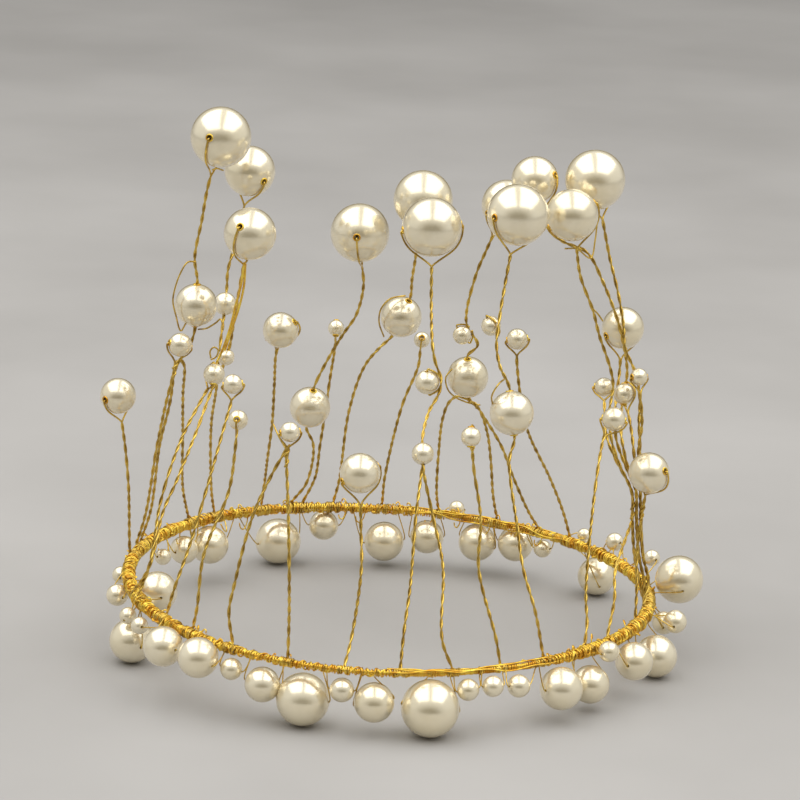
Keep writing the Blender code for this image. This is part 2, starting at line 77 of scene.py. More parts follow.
# The arcs that are wound over again: start, end, pitch of the first pass and of the second, and radius of their wire.
# LAID are the arcs where strands lie along the hoop, each starting at one of LEANS round it. CRINKLED are the arcs
# with random wire ends, CRINKLES of them to a degree.
OVERWOUND = [(84, 276, 1.9, 3.1, 0.195), (309, 404, 1.15, 2.7, 0.25)]
LAID = [(270, 312), (40, 88)]
LEANS = (0.4, 1.3, 2.3, 3.6)
CRINKLED = [(20, 250), (300, 380)]
CRINKLES = 0.45

# Finishes: two colours, roughness and how metallic.
PEARL_COLOURS = ((0.94, 0.86, 0.66), (0.90, 0.81, 0.59))
PEARL_ROUGHNESS, PEARL_METALLIC = 0.21, 0.60
STEM_GOLD = ((0.84, 0.60, 0.13), (0.40, 0.25, 0.045), 0.24, 0.9)
WOUND_GOLD = ((1.0, 0.76, 0.12), (0.72, 0.36, 0.03), 0.24, 0.8)
FLOOR_COLOURS = ((0.36, 0.35, 0.34), (0.43, 0.42, 0.41))

# Studio and camera.
SOFTBOX_POWER = 4.5
SOFTBOX_SIZE = (0.78, 1.20)
SOFTBOX_SIDE, SOFTBOX_HEIGHT = 0.46, 0.66
FLOOR_RADIUS = 3.5
LENS, SENSOR = 155.25, 36.0
CAMERA_PITCH, CAMERA_ROLL = 16.0, 2.5
CAMERA_DISTANCE = 803.0
AIM = (1.4, 0.0, 59.8)

# Eight stems rise side by side as one bundle: its middle line, and the step between neighbours.
BUNDLE = [(60.5, -3.7, 19.5), (58.8, -5.2, 26.0), (57.6, -7.0, 35.5), (57.0, -8.0, 42.5)]
BUNDLE_STEP = 1.02

# The origin is below the middle of the whole crown, on the surface that it stands on.
ORIGIN = np.array((3.11, -2.30, 0.0))

# Pearls that turn on the wire: x, y, z of the middle, and the diameter.
PEARLS = {
    "top_pearl_01": (-42.1, 2.0, 119.8, 14.0),
    "top_pearl_02": (-36.2, 22.0, 107.8, 12.0),
    "top_pearl_03": (-34.3, -8.0, 99.8, 12.0),
    "top_pearl_04": (-9.8, 24.0, 93.6, 14.0),
    "top_pearl_05": (4.8, 22.0, 102.7, 14.0),
    "top_pearl_06": (6.9, -14.0, 104.6, 13.5),
    "top_pearl_07": (24.6, 24.0, 101.9, 12.0),
    "top_pearl_08": (26.1, -14.0, 108.3, 14.0),
    "top_pearl_09": (30.4, 10.0, 111.3, 11.0),
    "top_pearl_10": (44.3, 10.0, 111.9, 14.0),
    "top_pearl_11": (38.8, -3.0, 106.3, 12.0),
    "mid_pearl_01": (-64.9, 8.0, 55.5, 8.5),
    "mid_pearl_02": (-46.9, 4.0, 79.4, 10.0),
    "mid_pearl_03": (-27.5, 16.0, 71.1, 8.5),
    "mid_pearl_04": (-20.5, 38.0, 46.1, 10.0),
    "mid_pearl_05": (0.8, 36.0, 70.4, 10.0),
    "mid_pearl_06": (-6.7, -43.0, 54.9, 9.0),
    "mid_pearl_07": (17.5, 30.0, 57.7, 10.0),
    "mid_pearl_08": (26.6, -28.0, 65.9, 10.0),
    "mid_pearl_09": (52.8, 10.0, 76.8, 10.0),
    "mid_pearl_10": (59.3, -14.0, 49.0, 9.5),
}

# Small beads that are twisted fast into their stems.
BEADS = {
    "b3": (-40.9, 18.0, 76.4, 5.5),
    "b4": (-49.9, -3.0, 71.6, 5.5),
    "b5": (-41.8, -4.0, 65.2, 5.0),
    "b6": (-39.5, 2.0, 67.8, 4.0),
    "b7": (-36.7, -18.0, 67.0, 4.5),
    "b8": (-34.6, -32.0, 62.7, 4.5),
    "b10": (-22.5, -44.0, 64.0, 4.5),
    "b12": (-14.9, 40.0, 65.8, 4.0),
    "b14": (6.1, 43.0, 63.0, 4.0),
    "b15": (7.3, -26.0, 71.7, 5.5),
    "b16": (7.0, -38.0, 58.5, 5.0),
    "b19": (15.6, 28.0, 68.6, 4.5),
    "b20": (21.2, -19.5, 83.7, 4.5),
    "b21": (28.3, 12.0, 72.5, 5.0),
    "b22": (17.5, -38.0, 62.9, 4.5),
    "b25": (49.0, 6.0, 63.4, 4.5),
    "b26": (53.3, -1.0, 63.9, 5.0),
    "b27": (56.3, -4.0, 69.0, 4.0),
    "b28": (50.6, -12.0, 60.9, 5.5),
}

# One row for each stem: the turn of its foot, the side of the hoop it leaves (1 outer, -1 inner),
# its slot in the bundle, its route, the pearl on its tip, and that pearl's bore as heading and tilt.
# A name in the route is a pearl that the wire runs straight through, or a bead that it is twisted around.
STEMS = {
    "stem_top_01": dict(foot=166.5, side=1, tip="top_pearl_01", bore=(-109, 9), route=[
        (-58.0, 11.0, 26.0), (-55.5, 8.0, 43.5), (-53.0, 5.0, 57.0), (-51.0, 4.5, 64.5), (-48.0, 4.0, 70.0),
        "mid_pearl_02", (-47.5, 4.0, 90.5), (-46.0, 3.0, 100.0), (-45.0, 3.0, 107.0)]),
    "stem_top_02": dict(foot=135.0, side=1, tip="top_pearl_02", bore=(-52, -13), route=[
        (-44.0, 36.0, 25.0), (-43.5, 20.0, 46.5), (-42.0, 11.0, 58.0), (-41.5, 12.5, 67.5), "b3",
        (-40.5, 19.0, 84.5), (-38.0, 22.0, 94.0)]),
    "stem_top_03": dict(foot=202.5, side=1, tip="top_pearl_03", bore=(-113, 27), route=[
        (-54.0, -21.0, 25.0), (-52.0, -15.0, 35.0), (-49.5, -12.0, 41.0), (-45.5, -6.0, 51.5),
        (-42.5, 1.0, 60.0), "b6", (-38.0, 0.0, 75.5), (-37.0, -3.0, 82.5), (-36.0, -6.0, 89.5)]),
    "stem_top_04": dict(foot=114.5, side=1, tip="top_pearl_04", bore=(-95, 4), route=[
        (-21.0, 50.0, 23.0), (-19.5, 43.0, 35.0), "mid_pearl_04", (-15.5, 34.0, 61.5),
        (-13.0, 32.0, 66.5), (-10.0, 30.0, 72.0), (-8.5, 27.0, 80.0)]),
    "stem_top_05": dict(foot=104.0, side=1, tip="top_pearl_05", bore=(-52, -16), route=[
        (-13.0, 54.0, 22.5), (-11.0, 44.0, 44.0), (-7.5, 39.0, 57.0), (-4.0, 38.0, 62.0), "mid_pearl_05",
        (3.0, 31.5, 80.9), (3.6, 28.0, 87.1)]),
    "stem_top_06": dict(foot=285.5, side=-1, tip="top_pearl_06", bore=(-169, -6), route=[
        (13.0, -55.0, 21.0), (12.5, -47.0, 35.5), (9.5, -42.0, 46.5), "b16", (8.0, -30.0, 66.0),
        (10.0, -27.5, 69.5), (10.4, -26.0, 72.5), (9.0, -25.0, 76.0), (8.2, -24.0, 79.5), (7.5, -19.0, 88.0)],
        beside=["b15"], extra=[dict(foot=274.0, side=-1, route=[(4.5, -55.0, 22.5), (5.5, -50.0, 32.0),
                                                                (6.0, -44.0, 45.0),
                                                "b16"])]),
    "stem_top_07": dict(foot=63.0, side=1, tip="top_pearl_07", bore=(-141, -15), route=[
        (25.5, 47.0, 23.0), (24.5, 42.0, 32.5), (23.0, 37.0, 42.0), (20.5, 33.5, 49.0), "mid_pearl_07",
        (19.5, 29.0, 66.0), (16.5, 28.0, 71.5), (18.0, 26.0, 83.5), (20.5, 25.0, 91.0)], beside=["b19"],
        extra=[dict(foot=78.0, side=1, route=[(11.5, 51.0, 22.0), (11.5, 46.0, 33.0), (12.0, 41.0, 43.5),
                                              (13.5, 36.5, 49.5), (15.5, 34.5, 51.5), (18.0, 34.0, 50.8),
                                              (20.5, 33.5, 49.0)]),
               dict(foot=52.0, side=1, route=[(34.5, 45.0, 19.5), (30.0, 40.0, 30.0), (26.5, 36.5, 39.0),
                                              (20.5, 33.5, 49.0)])]),
    "stem_top_08": dict(foot=308.5, side=-1, tip="top_pearl_08", bore=(-140, 1), route=[
        (33.5, -46.0, 25.5), (30.5, -42.0, 34.0), (29.0, -38.0, 41.5), (26.5, -31.5, 56.0), "mid_pearl_08",
        (23.5, -26.0, 76.0), (22.5, -24.0, 80.5), (23.0, -21.0, 86.5), (24.0, -18.0, 94.0)], beside=["b20"]),
    "stem_top_09": dict(foot=0.0, side=-1, slot=(0, 0), tip="top_pearl_09", bore=(-29, 20), route=[
        (54.5, -7.0, 49.0), (53.0, -5.0, 55.0), (53.0, 0.0, 58.5), (53.5, 3.5, 63.0), (54.0, 3.5, 68.0),
        (51.5, 2.6, 79.0), (47.0, 4.0, 89.5), (43.0, 4.5, 96.0), (37.5, 5.5, 98.0), (33.5, 8.0, 101.0)]),
    "stem_top_10": dict(foot=5.4, side=-1, slot=(1, 1), tip="top_pearl_10", bore=(-117, -35), route=[
        (57.5, -5.5, 52.0), (57.0, -3.5, 58.0), (57.0, -1.5, 63.0), (56.0, 0.5, 68.0),
        (53.0, 1.4, 74.5), (52.5, 2.8, 79.0), (51.0, 5.0, 86.0), (48.5, 8.0, 94.5)]),
    "stem_top_11": dict(foot=-3.6, side=-1, slot=(-1, -1), tip="top_pearl_11", bore=(-168, -29), route=[
        (52.5, -8.0, 49.5), (50.5, -6.5, 55.0), (50.0, -4.0, 60.5), (50.5, -2.0, 67.0), (46.5, -2.0, 78.5),
        (45.0, -2.0, 83.5), (41.5, -2.5, 92.0)],
        extra=[dict(foot=330.0, side=-1, route=[(52.5, -24.0, 21.5), (52.5, -20.0, 26.5),
                                                (54.5, -14.0, 31.5)],
                    joins=2)]),
    "stem_mid_01": dict(foot=172.0, side=1, tip="mid_pearl_01", bore=(-131, -3), route=[
        (-61.5, 8.0, 19.0), (-62.0, 8.0, 33.0), (-63.0, 8.0, 43.0)]),
    "stem_mid_03": dict(foot=122.0, side=1, tip="mid_pearl_03", bore=(-17, 35), route=[
        (-31.5, 49.0, 22.5), (-30.7, 42.0, 31.0), (-29.5, 34.0, 42.5), (-29.0, 27.0, 54.4),
        (-28.7, 21.0, 63.0)]),
    "stem_mid_06": dict(foot=262.0, side=-1, tip="mid_pearl_06", bore=(-155, -20), route=[
        (-7.0, -55.0, 20.5), (-5.5, -50.0, 35.0), (-6.0, -46.0, 43.0)]),
    "stem_mid_09": dict(foot=3.6, side=-1, slot=(0, 1), tip="mid_pearl_09", bore=(-146, -16), route=[
        (54.5, -5.0, 47.5), (52.0, -3.5, 53.5), (51.5, -2.0, 58.0), (51.8, 3.0, 61.0), (52.5, 8.0, 66.0)]),
    "stem_mid_10": dict(foot=-7.2, side=-1, slot=(1, -1), tip="mid_pearl_10", bore=(-40, 18), keep=3, route=[],
        extra=[dict(foot=345.0, side=-1, route=[(58.3, -12.5, 20.0), (58.0, -9.5, 28.0)], joins=2)]),
    "stem_bead_04": dict(foot=163.5, side=1, tip="b4", route=[
        (-57.0, 13.0, 26.0), (-54.5, 3.0, 45.5), (-52.0, -1.0, 57.5), (-51.0, -3.0, 66.5)],
        extra=[dict(foot=143.0, side=1, route=[(-50.5, 28.0, 27.5), (-50.0, 16.0, 43.0), (-49.5, 5.0, 57.5),
                                               (-49.0, -1.5, 66.5), "b4"])]),
    "stem_bead_05": dict(foot=199.0, side=1, tip="b5", bore=(-90, -60), route=[
        (-54.5, -24.0, 24.0), (-53.5, -22.0, 29.5), (-52.5, -18.0, 38.0), (-48.5, -12.0, 51.5),
        (-43.0, -4.5, 62.0)]),
    "stem_bead_07": dict(foot=214.0, side=-1, tip="b7", route=[
        (-48.0, -34.0, 22.0), (-44.5, -30.0, 33.0), (-38.0, -20.0, 58.5), (-37.0, -18.0, 62.5)]),
    "stem_bead_08": dict(foot=224.0, side=-1, tip="b8", bore=(-95, 20), route=[
        (-42.0, -42.0, 21.5), (-41.0, -39.0, 33.0), (-36.0, -35.0, 47.0), (-35.0, -33.0, 56.0)]),
    "stem_bead_10": dict(foot=249.5, side=-1, tip="b10", route=[
        (-21.0, -54.0, 27.0), (-22.0, -49.0, 45.5), (-23.0, -45.0, 59.0)],
        extra=[dict(foot=236.0, side=-1, route=[(-34.5, -49.0, 23.0), (-33.5, -48.5, 29.5),
                                                (-30.0, -46.5, 45.0),
                                                (-26.0, -44.5, 54.5), "b10"])]),
    "stem_bead_12": dict(foot=111.5, side=1, tip="b12", bore=(-90, -55), route=[
        (-19.0, 53.0, 23.5), (-18.0, 49.0, 33.0), (-17.0, 46.0, 42.0), (-16.0, 44.5, 52.0),
        (-15.0, 41.5, 61.0)]),
    "stem_bead_14": dict(foot=92.0, side=1, tip="b14", bore=(-90, 30), route=[
        (-1.5, 53.0, 25.0), (2.0, 47.0, 45.0), (5.5, 44.0, 56.0)]),
    "stem_bead_21": dict(foot=43.0, side=1, tip="b21", route=[
        (43.0, 40.0, 21.0), (39.0, 34.0, 31.5), (32.5, 23.0, 46.5), (30.0, 15.0, 57.0), (28.5, 12.0, 67.0)]),
    "stem_bead_22": dict(foot=297.0, side=-1, tip="b22", bore=(-90, -68), route=[
        (25.0, -50.0, 20.0), (20.5, -45.0, 34.5), (20.5, -42.0, 45.0), (18.5, -39.0, 55.5)]),
    "stem_bead_25": dict(foot=-1.8, side=-1, slot=(-1, 0), tip="b25", route=[
        (52.0, -6.5, 49.5), (49.8, -4.0, 54.0), (49.2, 1.0, 58.5)]),
    "stem_bead_26": dict(foot=-5.4, side=-1, slot=(0, -1), tip="b26", bore=(-90, -65), route=[
        (56.0, -8.0, 51.5), (55.0, -5.0, 57.5)]),
    "stem_bead_27": dict(foot=1.8, side=-1, slot=(1, 0), tip="b27", route=[
        (57.0, -7.5, 52.5), (57.5, -6.5, 58.5)]),
    "stem_bead_28": dict(foot=321.5, side=-1, tip="b28", route=[
        (46.0, -33.0, 18.5), (45.5, -30.0, 25.0), (47.0, -19.0, 48.5), (48.5, -13.5, 57.0)]),
}

# Pearls strung on a wire along the edge of the hoop: the turns at which the wire is tied to the hoop at
# its two ends, then x, y, z and diameter of each pearl. One with height 0 is lifted until it rests there.
RIM_STRANDS = {
    "rim_strand_right": [
        (340.0, 33.0), (63.5, -15.6, 0.0, 10.0), (67.9, -10.5, 11.9, 5.5), (65.8, -3.5, 9.0, 5.5),
        (69.7, 7.0, 16.4, 11.5),
        (63.8, 19.0, 17.5, 4.0), (55.5, 32.0, 16.9, 4.5)],
    "rim_strand_back_right": [
        (38.0, 84.0), (52.1, 41.0, 0.0, 9.5), (48.5, 42.5, 14.8, 3.5), (38.6, 46.8, 9.4, 4.5),
        (32.0, 52.9, 8.4, 9.0),
        (22.4, 54.5, 7.8, 9.5), (16.9, 58.4, 15.2, 4.0), (9.7, 56.8, 7.9, 8.5)],
    "rim_strand_back_left": [
        (87.5, 157.0), (-1.1, 56.5, 6.3, 10.0), (-16.5, 57.7, 9.5, 7.5), (-27.8, 54.7, 0.0, 11.5),
        (-44.2, 39.6, 9.0, 9.5),
        (-50.1, 33.0, 9.6, 7.0), (-54.6, 24.0, 10.6, 4.0)],
    "rim_strand_left": [
        (178.0, 218.5), (-63.0, 3.5, 12.6, 4.2), (-62.6, -10.5, 12.5, 5.2), (-53.3, -9.8, 13.5, 9.5),
        (-58.9, -24.3, 12.4, 4.0),
        (-58.1, -21.0, 0.0, 10.5), (-55.7, -30.2, 12.3, 4.0), (-49.3, -43.5, 12.4, 9.2)],
    "rim_strand_front_left": [
        (229.0, 268.0), (-40.9, -51.6, 13.1, 9.2), (-33.4, -52.8, 11.2, 5.0), (-26.3, -55.0, 8.7, 8.0),
        (-17.2, -56.0, 0.0, 12.0),
        (-8.6, -59.7, 10.0, 5.5), (-1.4, -60.2, 7.6, 9.0)],
    "rim_strand_front_right": [
        (279.5, 336.0), (11.0, -59.5, 0.0, 13.0), (19.2, -57.5, 10.5, 5.0), (24.7, -56.0, 11.0, 4.8),
        (30.5, -53.5, 10.4, 5.2),
        (40.3, -47.0, 7.8, 9.8), (47.2, -39.0, 6.1, 8.8), (51.0, -38.0, 13.8, 4.8), (57.5, -29.0, 8.4, 8.8)],
}




# Wires that stand off the stems beside some pearls, and small loops of wire end.
LOOSE_WIRES = {
    "loose_wire_01": [(-47.1, 3.0, 90.0), (-48.9, 2.0, 90.1), (-50.6, 1.0, 87.4), (-51.8, 0.0, 83.3),
                      (-52.0, 0.0, 81.0), (-51.2, 0.0, 77.6), (-50.1, 2.0, 73.6), (-49.0, 2.0, 75.5)],
    "loose_wire_02": [(-46.2, 4.0, 73.6), (-43.9, 0.0, 75.1), (-41.9, -1.0, 76.7), (-40.7, -2.0, 77.9),
                      (-40.1, -3.0, 75.6)],
    "loose_wire_03": [(-42.6, -5.0, 69.3), (-42.8, -5.0, 71.0), (-41.9, -5.2, 72.0), (-41.0, -5.0, 71.3),
                      (-41.4, -4.8, 69.6), (-42.6, -4.6, 68.8)],
    "loose_wire_04": [(-43.9, 2.4, 112.0), (-42.9, 3.5, 112.1), (-41.6, 6.0, 111.2)],
    "loose_wire_05": [(-35.4, -8.0, 93.0), (-36.1, -7.0, 87.2), (-37.3, -5.0, 81.9), (-38.3, -3.5, 76.9),
                      (-40.0, -2.5, 71.0), (-41.3, -3.5, 67.9)],
    "loose_wire_06": [(-35.2, -7.0, 92.5), (-35.4, -6.5, 87.2), (-36.4, -5.5, 81.9), (-37.8, -4.5, 76.9),
                      (-39.5, -4.0, 71.0)],
    "loose_wire_07": [(1.6, 35.0, 76.0), (-2.1, 33.0, 75.5), (-4.1, 32.0, 73.2), (-4.5, 33.0, 69.9),
                      (-3.2, 37.0, 65.0)],
    "loose_wire_08": [(13.6, 27.0, 60.4), (12.2, 26.0, 58.6), (12.6, 27.0, 55.6), (14.6, 30.0, 52.6),
                      (17.9, 32.0, 50.7), (20.9, 33.5, 49.8)],
    "loose_wire_09": [(24.6, -28.0, 73.8), (23.1, -31.0, 73.2), (21.9, -31.0, 70.8), (22.2, -28.0, 67.5)],
    "loose_wire_10": [(37.6, -4.0, 98.6), (40.5, 0.0, 97.7), (44.1, 4.0, 94.8), (44.9, 6.0, 98.6),
                      (45.3, 8.0, 104.2)],
    "loose_wire_11": [(44.4, -2.0, 84.6), (46.1, -2.0, 83.0), (47.3, -2.0, 81.4)],
    "loose_wire_12": [(-26.4, -40.0, 64.5), (-24.9, -42.0, 62.1), (-22.6, -44.5, 59.2)],
}
# These two are stem wire drawn in the lighter winding gold as painted light: a lit copy of the stem gold where bright
# light falls on them. They are also drawn thicker.
PAINTED_LIGHT_WIRES = ("loose_wire_05", "loose_wire_06")

# Small ends of wire that stand off the hoop: turn, height angle around the hoop, and length.
STRAYS = [(50, -110, 2.6), (57, -100, 2.0), (64, -120, 2.9), (72, -95, 2.2), (79, -115, 2.4), (96, -100, 3.0),
          (101, -120, 2.2), (126, -100, 3.4), (133, -130, 3.8), (141, -110, 4.4), (147, -95, 3.2),
          (153, -120, 4.0),
          (160, -60, 2.6), (190, 60, 1.6), (206, 80, 1.8), (219, 40, 2.2), (226, 100, 2.0), (236, 60, 2.2),
          (318, 60, 2.0), (323, 100, 2.4), (330, 70, 1.8), (338, 120, 2.0), (4, 90, 2.2), (28, 70, 1.8),
          (35, 110, 1.6)]


def unit(vector):
    vector = np.asarray(vector, float)
    return vector / np.linalg.norm(vector)


def bore_of(diameter):
    return BORE if diameter > BEAD_LIMIT else BEAD_BORE


def hoop_radius(turn):
    oval = OVAL * np.cos(2 * np.radians(turn - OVAL_TURN))
    egg = EGG * np.cos(3 * np.radians(turn - EGG_TURN))
    return HOOP_RADIUS * (1 + oval + egg)


def hoop_point(turn):
    turn = np.asarray(turn, float)
    radius = hoop_radius(turn)
    x = radius * np.cos(np.radians(turn))
    y = radius * np.sin(np.radians(turn))
    return np.stack([x, y, HOOP_HEIGHT - HOOP_FALL * x], -1)


def hoop_axes(turn):
    """The outward, along and upward directions at each turn."""
    along = hoop_point(np.asarray(turn) + 0.5) - hoop_point(np.asarray(turn) - 0.5)
    along /= np.linalg.norm(along, axis=-1, keepdims=True)
    outward = np.cross(along, (0.0, 0.0, 1.0))
    outward /= np.linalg.norm(outward, axis=-1, keepdims=True)
    return outward, along, np.cross(outward, along)


def girth(turn):
    return np.interp(np.asarray(turn) % 360, *np.transpose(GIRTH))


def resample(points, spacing):
    lengths = np.linalg.norm(np.diff(points, axis=0), axis=1)
    run = np.concatenate([[0], np.cumsum(lengths)])
    count = max(2, int(round(run[-1] / spacing)) + 1)
    marks = np.linspace(0, run[-1], count)
    return np.stack([np.interp(marks, run, points[:, axis]) for axis in range(3)], 1)


def spline(points, spacing):
    """A centripetal Catmull-Rom curve through the points, at an even spacing."""
    points = [np.asarray(point, float) for point in points]
    ends = [2 * points[0] - points[1]] + points + [2 * points[-1] - points[-2]]
    curve = []
    for index in range(1, len(ends) - 2):
        spots = ends[index - 1:index + 3]
        knots = [0.0]
        for one, two in zip(spots, spots[1:]):
            knots.append(knots[-1] + max(np.linalg.norm(two - one), 1e-4) ** 0.5)
        count = max(6, int(np.linalg.norm(spots[2] - spots[1]) / spacing * 2))
        marks = np.linspace(knots[1], knots[2], count, endpoint=False)[:, None]

        def blend(one, two, low, high):
            return (one * (high - marks) + two * (marks - low)) / (high - low)

        first = blend(spots[0], spots[1], knots[0], knots[1])
        second = blend(spots[1], spots[2], knots[1], knots[2])
        third = blend(spots[2], spots[3], knots[2], knots[3])
        early = blend(first, second, knots[0], knots[2])
        late = blend(second, third, knots[1], knots[3])
        curve.append(blend(early, late, knots[1], knots[2]))
    curve.append(points[-1][None])
    return resample(np.concatenate(curve), spacing)


def carried_frames(points):
    """Two directions across a curve at each point, carried along it without twisting."""
    tangents = np.gradient(points, axis=0)
    tangents /= np.linalg.norm(tangents, axis=1, keepdims=True)
    start = (0.0, 0.0, 1.0) if abs(tangents[0][2]) < 0.9 else (1.0, 0.0, 0.0)
    across = np.zeros_like(points)
    across[0] = unit(np.cross(tangents[0], start))
    for index in range(1, len(points)):
        carried = across[index - 1] - tangents[index] * (across[index - 1] @ tangents[index])
        across[index] = carried / np.linalg.norm(carried)
    return across, np.cross(tangents, across)


class Shape:
    """Collects tubes and turned forms, and makes one mesh of them."""

    def __init__(self):
        self.points, self.faces, self.count = [], [], 0

    def add(self, points, faces):
        self.points.append(points)
        self.faces += [tuple(int(corner) + self.count for corner in face) for face in faces]
        self.count += len(points)

    def tube(self, points, radius, sides=7, closed=False):
        points = np.asarray(points, float)
        across, other = carried_frames(points)
        radius = np.broadcast_to(np.asarray(radius, float), (len(points),))[:, None, None]
        angles = np.arange(sides) * 2 * np.pi / sides
        ring = np.cos(angles)[None, :, None] * across[:, None] + np.sin(angles)[None, :, None] * other[:, None]
        skin = (points[:, None] + ring * radius).reshape(-1, 3)
        faces = []
        last = len(points) if closed else len(points) - 1
        for row in range(last):
            here, there = row * sides, (row + 1) % len(points) * sides
            faces += [(here + side, here + (side + 1) % sides, there + (side + 1) % sides, there + side)
                      for side in range(sides)]
        if not closed:
            tips = []
            for end, inner in ((0, 1), (-1, -2)):
                outward = unit(points[end] - points[inner])
                tips.append(points[end] + outward * float(radius[end, 0, 0]) * 0.6)
            first, final = len(skin), len(skin) + 1
            base = (len(points) - 1) * sides
            faces += [(first, (side + 1) % sides, side) for side in range(sides)]
            faces += [(final, base + side, base + (side + 1) % sides) for side in range(sides)]
            skin = np.concatenate([skin, tips])
        self.add(skin, faces)

    def pearl(self, centre, diameter, axis, bore=None):
        """A ball turned around its bore, with a softly broken edge at each mouth."""
        radius = diameter / 2
        bore = bore or bore_of(diameter)
        bands, sides = (26, 48) if diameter > BEAD_LIMIT else (18, 32)
        edge = math.asin((bore + LIP) / radius)
        angles = np.linspace(edge, math.pi - edge, bands)
        outer = np.stack([radius * np.sin(angles), radius * np.cos(angles)], 1)
        mouth = radius * math.cos(edge)
        lip = [(bore + LIP * 0.35, mouth - LIP * 0.15), (bore, mouth - LIP * 1.2), (bore, mouth - LIP * 5)]
        below = [(x, -z) for x, z in lip]
        profile = np.concatenate([outer, below, lip[::-1]])
        axis = unit(axis)
        across = unit(np.cross(axis, (0.0, 0.0, 1.0) if abs(axis[2]) < 0.9 else (1.0, 0.0, 0.0)))
        other = np.cross(axis, across)
        turns = np.arange(sides) * 2 * np.pi / sides
        spokes = np.cos(turns)[:, None] * across + np.sin(turns)[:, None] * other
        skin = (np.asarray(centre) + profile[:, None, 0, None] * spokes[None]
                + profile[:, None, 1, None] * axis).reshape(-1, 3)
        rows = len(profile)
        faces = [(row * sides + side, (row + 1) % rows * sides + side,
                  (row + 1) % rows * sides + (side + 1) % sides, row * sides + (side + 1) % sides)
                 for row in range(rows) for side in range(sides)]
        self.add(skin, faces)

    def make(self, name, finish, body=ROOT, slot=None, replaces=()):
        points = (np.concatenate(self.points) - ORIGIN) * MM
        mesh = bpy.data.meshes.new(name)
        mesh.from_pydata(points.tolist(), [], self.faces)
        mesh.polygons.foreach_set("use_smooth", [True] * len(mesh.polygons))
        mesh.materials.append(finish)
        mesh.update()
        piece = bpy.data.objects.new(name, mesh)
        bpy.context.scene.collection.objects.link(piece)
        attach(piece, body)
        if replaces:
            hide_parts(*replaces)


def twisted(points, turn_start):
    """The two wires of a twisted pair that follows the points, with a slightly uneven twist."""
    across, other = carried_frames(points)
    run = np.concatenate([[0], np.cumsum(np.linalg.norm(np.diff(points, axis=0), axis=1))])
    uneven = 0.9 * np.sin(run / 5.3 + RNG.uniform(0, 6)) + 0.6 * np.sin(run / 2.9 + RNG.uniform(0, 6))
    angle = turn_start + 2 * np.pi * run / TWIST_PITCH + uneven
    shift = TWIST_OFFSET * (np.cos(angle)[:, None] * across + np.sin(angle)[:, None] * other)
    return points + shift, points - shift


def foot_wrap(turn, start_angle, side, direction, turns):
    """One wire wound a few times round the hoop, from the foot of a stem."""
    count = int(turns * 14)
    wound = np.arange(count + 1) / 14
    angle = start_angle + wound * 2 * np.pi * direction
    shift = (0.35 + wound * FOOT_PITCH) * direction
    spots = turn + np.degrees(shift / hoop_radius(turn))
    outward, _, up = hoop_axes(spots)
    radius = FOOT_RADIUS * girth(spots) + 0.06 * np.sin(wound * 2.3 + turn)
    spoke = outward * side * np.cos(angle)[:, None] + up * np.sin(angle)[:, None]
    return hoop_point(spots) + spoke * radius[:, None]


def foot_base(turn, side, lift=0.9):
    outward, _, up = hoop_axes(turn)
    reach = FOOT_RADIUS * girth(turn) + 0.15
    return hoop_point(turn) + (outward * side * math.cos(lift) + up * math.sin(lift)) * reach


def heading_axis(heading, tilt):
    level = math.cos(math.radians(tilt))
    return np.array((level * math.cos(math.radians(heading)), level * math.sin(math.radians(heading)),
                     math.sin(math.radians(tilt))))


def mouth_rings(shape, centre, diameter, axis):
    """A ring of wire round each mouth of a bore."""
    reach = bore_of(diameter) + RING_GAP
    across = unit(np.cross(axis, (0.0, 0.0, 1.0) if abs(axis[2]) < 0.9 else (1.0, 0.0, 0.0)))
    other = np.cross(axis, across)
    angles = np.arange(18) * 2 * np.pi / 18
    ring = reach * (np.cos(angles)[:, None] * across + np.sin(angles)[:, None] * other)
    height = math.sqrt(diameter ** 2 / 4 - reach ** 2)
    for end in (-1, 1):
        shape.tube(centre + ring + axis * height * end, RING_WIRE, sides=6, closed=True)


def arm(centre, radius, fork, heading):
    """One wire from a fork, taut onto a pearl, round it and into the mouth of its bore."""
    neck = unit(fork - centre)
    aside = unit(heading - neck * (heading @ neck))
    span = math.acos(max(-1, min(1, heading @ neck)))
    reach = radius + ARM_WIRE + ARM_CLEAR
    touch = min(math.acos(min(0.98, reach / np.linalg.norm(fork - centre))), span * 0.7)
    angles = np.linspace(touch, span - 0.9 / radius, 7)
    hug = [centre + reach * (neck * math.cos(angle) + aside * math.sin(angle)) for angle in angles]
    over = centre + (radius + ARM_WIRE * 2.2) * unit(heading + 0.35 / radius * neck)
    return [fork + (hug[0] - fork) * 0.5] + hug + [over, centre + heading * (radius - 0.6)]


def loop_round(centre, radius, fork, axis):
    there = arm(centre, radius, fork, axis)
    back = arm(centre, radius, fork, -axis)
    return spline(there + [centre] + back[::-1], CURVE_STEP)


def soften(points, rounds=2):
    for _ in range(rounds):
        points = np.concatenate([points[:1], (points[:-2] + 2 * points[1:-1] + points[2:]) / 4, points[-1:]])
    return points


def route_points(stem_route, before):
    """The points of a route, straight through each pearl or bead on it, and where those sit."""
    points, threaded = [], []
    for place, item in enumerate(stem_route):
        if not isinstance(item, str):
            points.append(np.array(item, float))
            continue
        x, y, z, diameter = PEARLS[item] if item in PEARLS else BEADS[item]
        centre = np.array((x, y, z))
        ahead = stem_route[place + 1] if place + 1 < len(stem_route) else None
        behind = points[-1] if points else before
        is_point = ahead is not None and not isinstance(ahead, str)
        axis = unit((np.array(ahead, float) if is_point else centre) - behind)
        points += [centre - axis * (diameter / 2 + 1.0), centre, centre + axis * (diameter / 2 + 1.0)]
        threaded.append((item, axis))
    return points, threaded


def bundle_points(stem):
    if "slot" not in stem:
        return []
    col, row = stem["slot"]
    points = [np.array(point) + np.array((col, row, 0)) * BUNDLE_STEP for point in BUNDLE]
    return points[:stem.get("keep", len(points))]


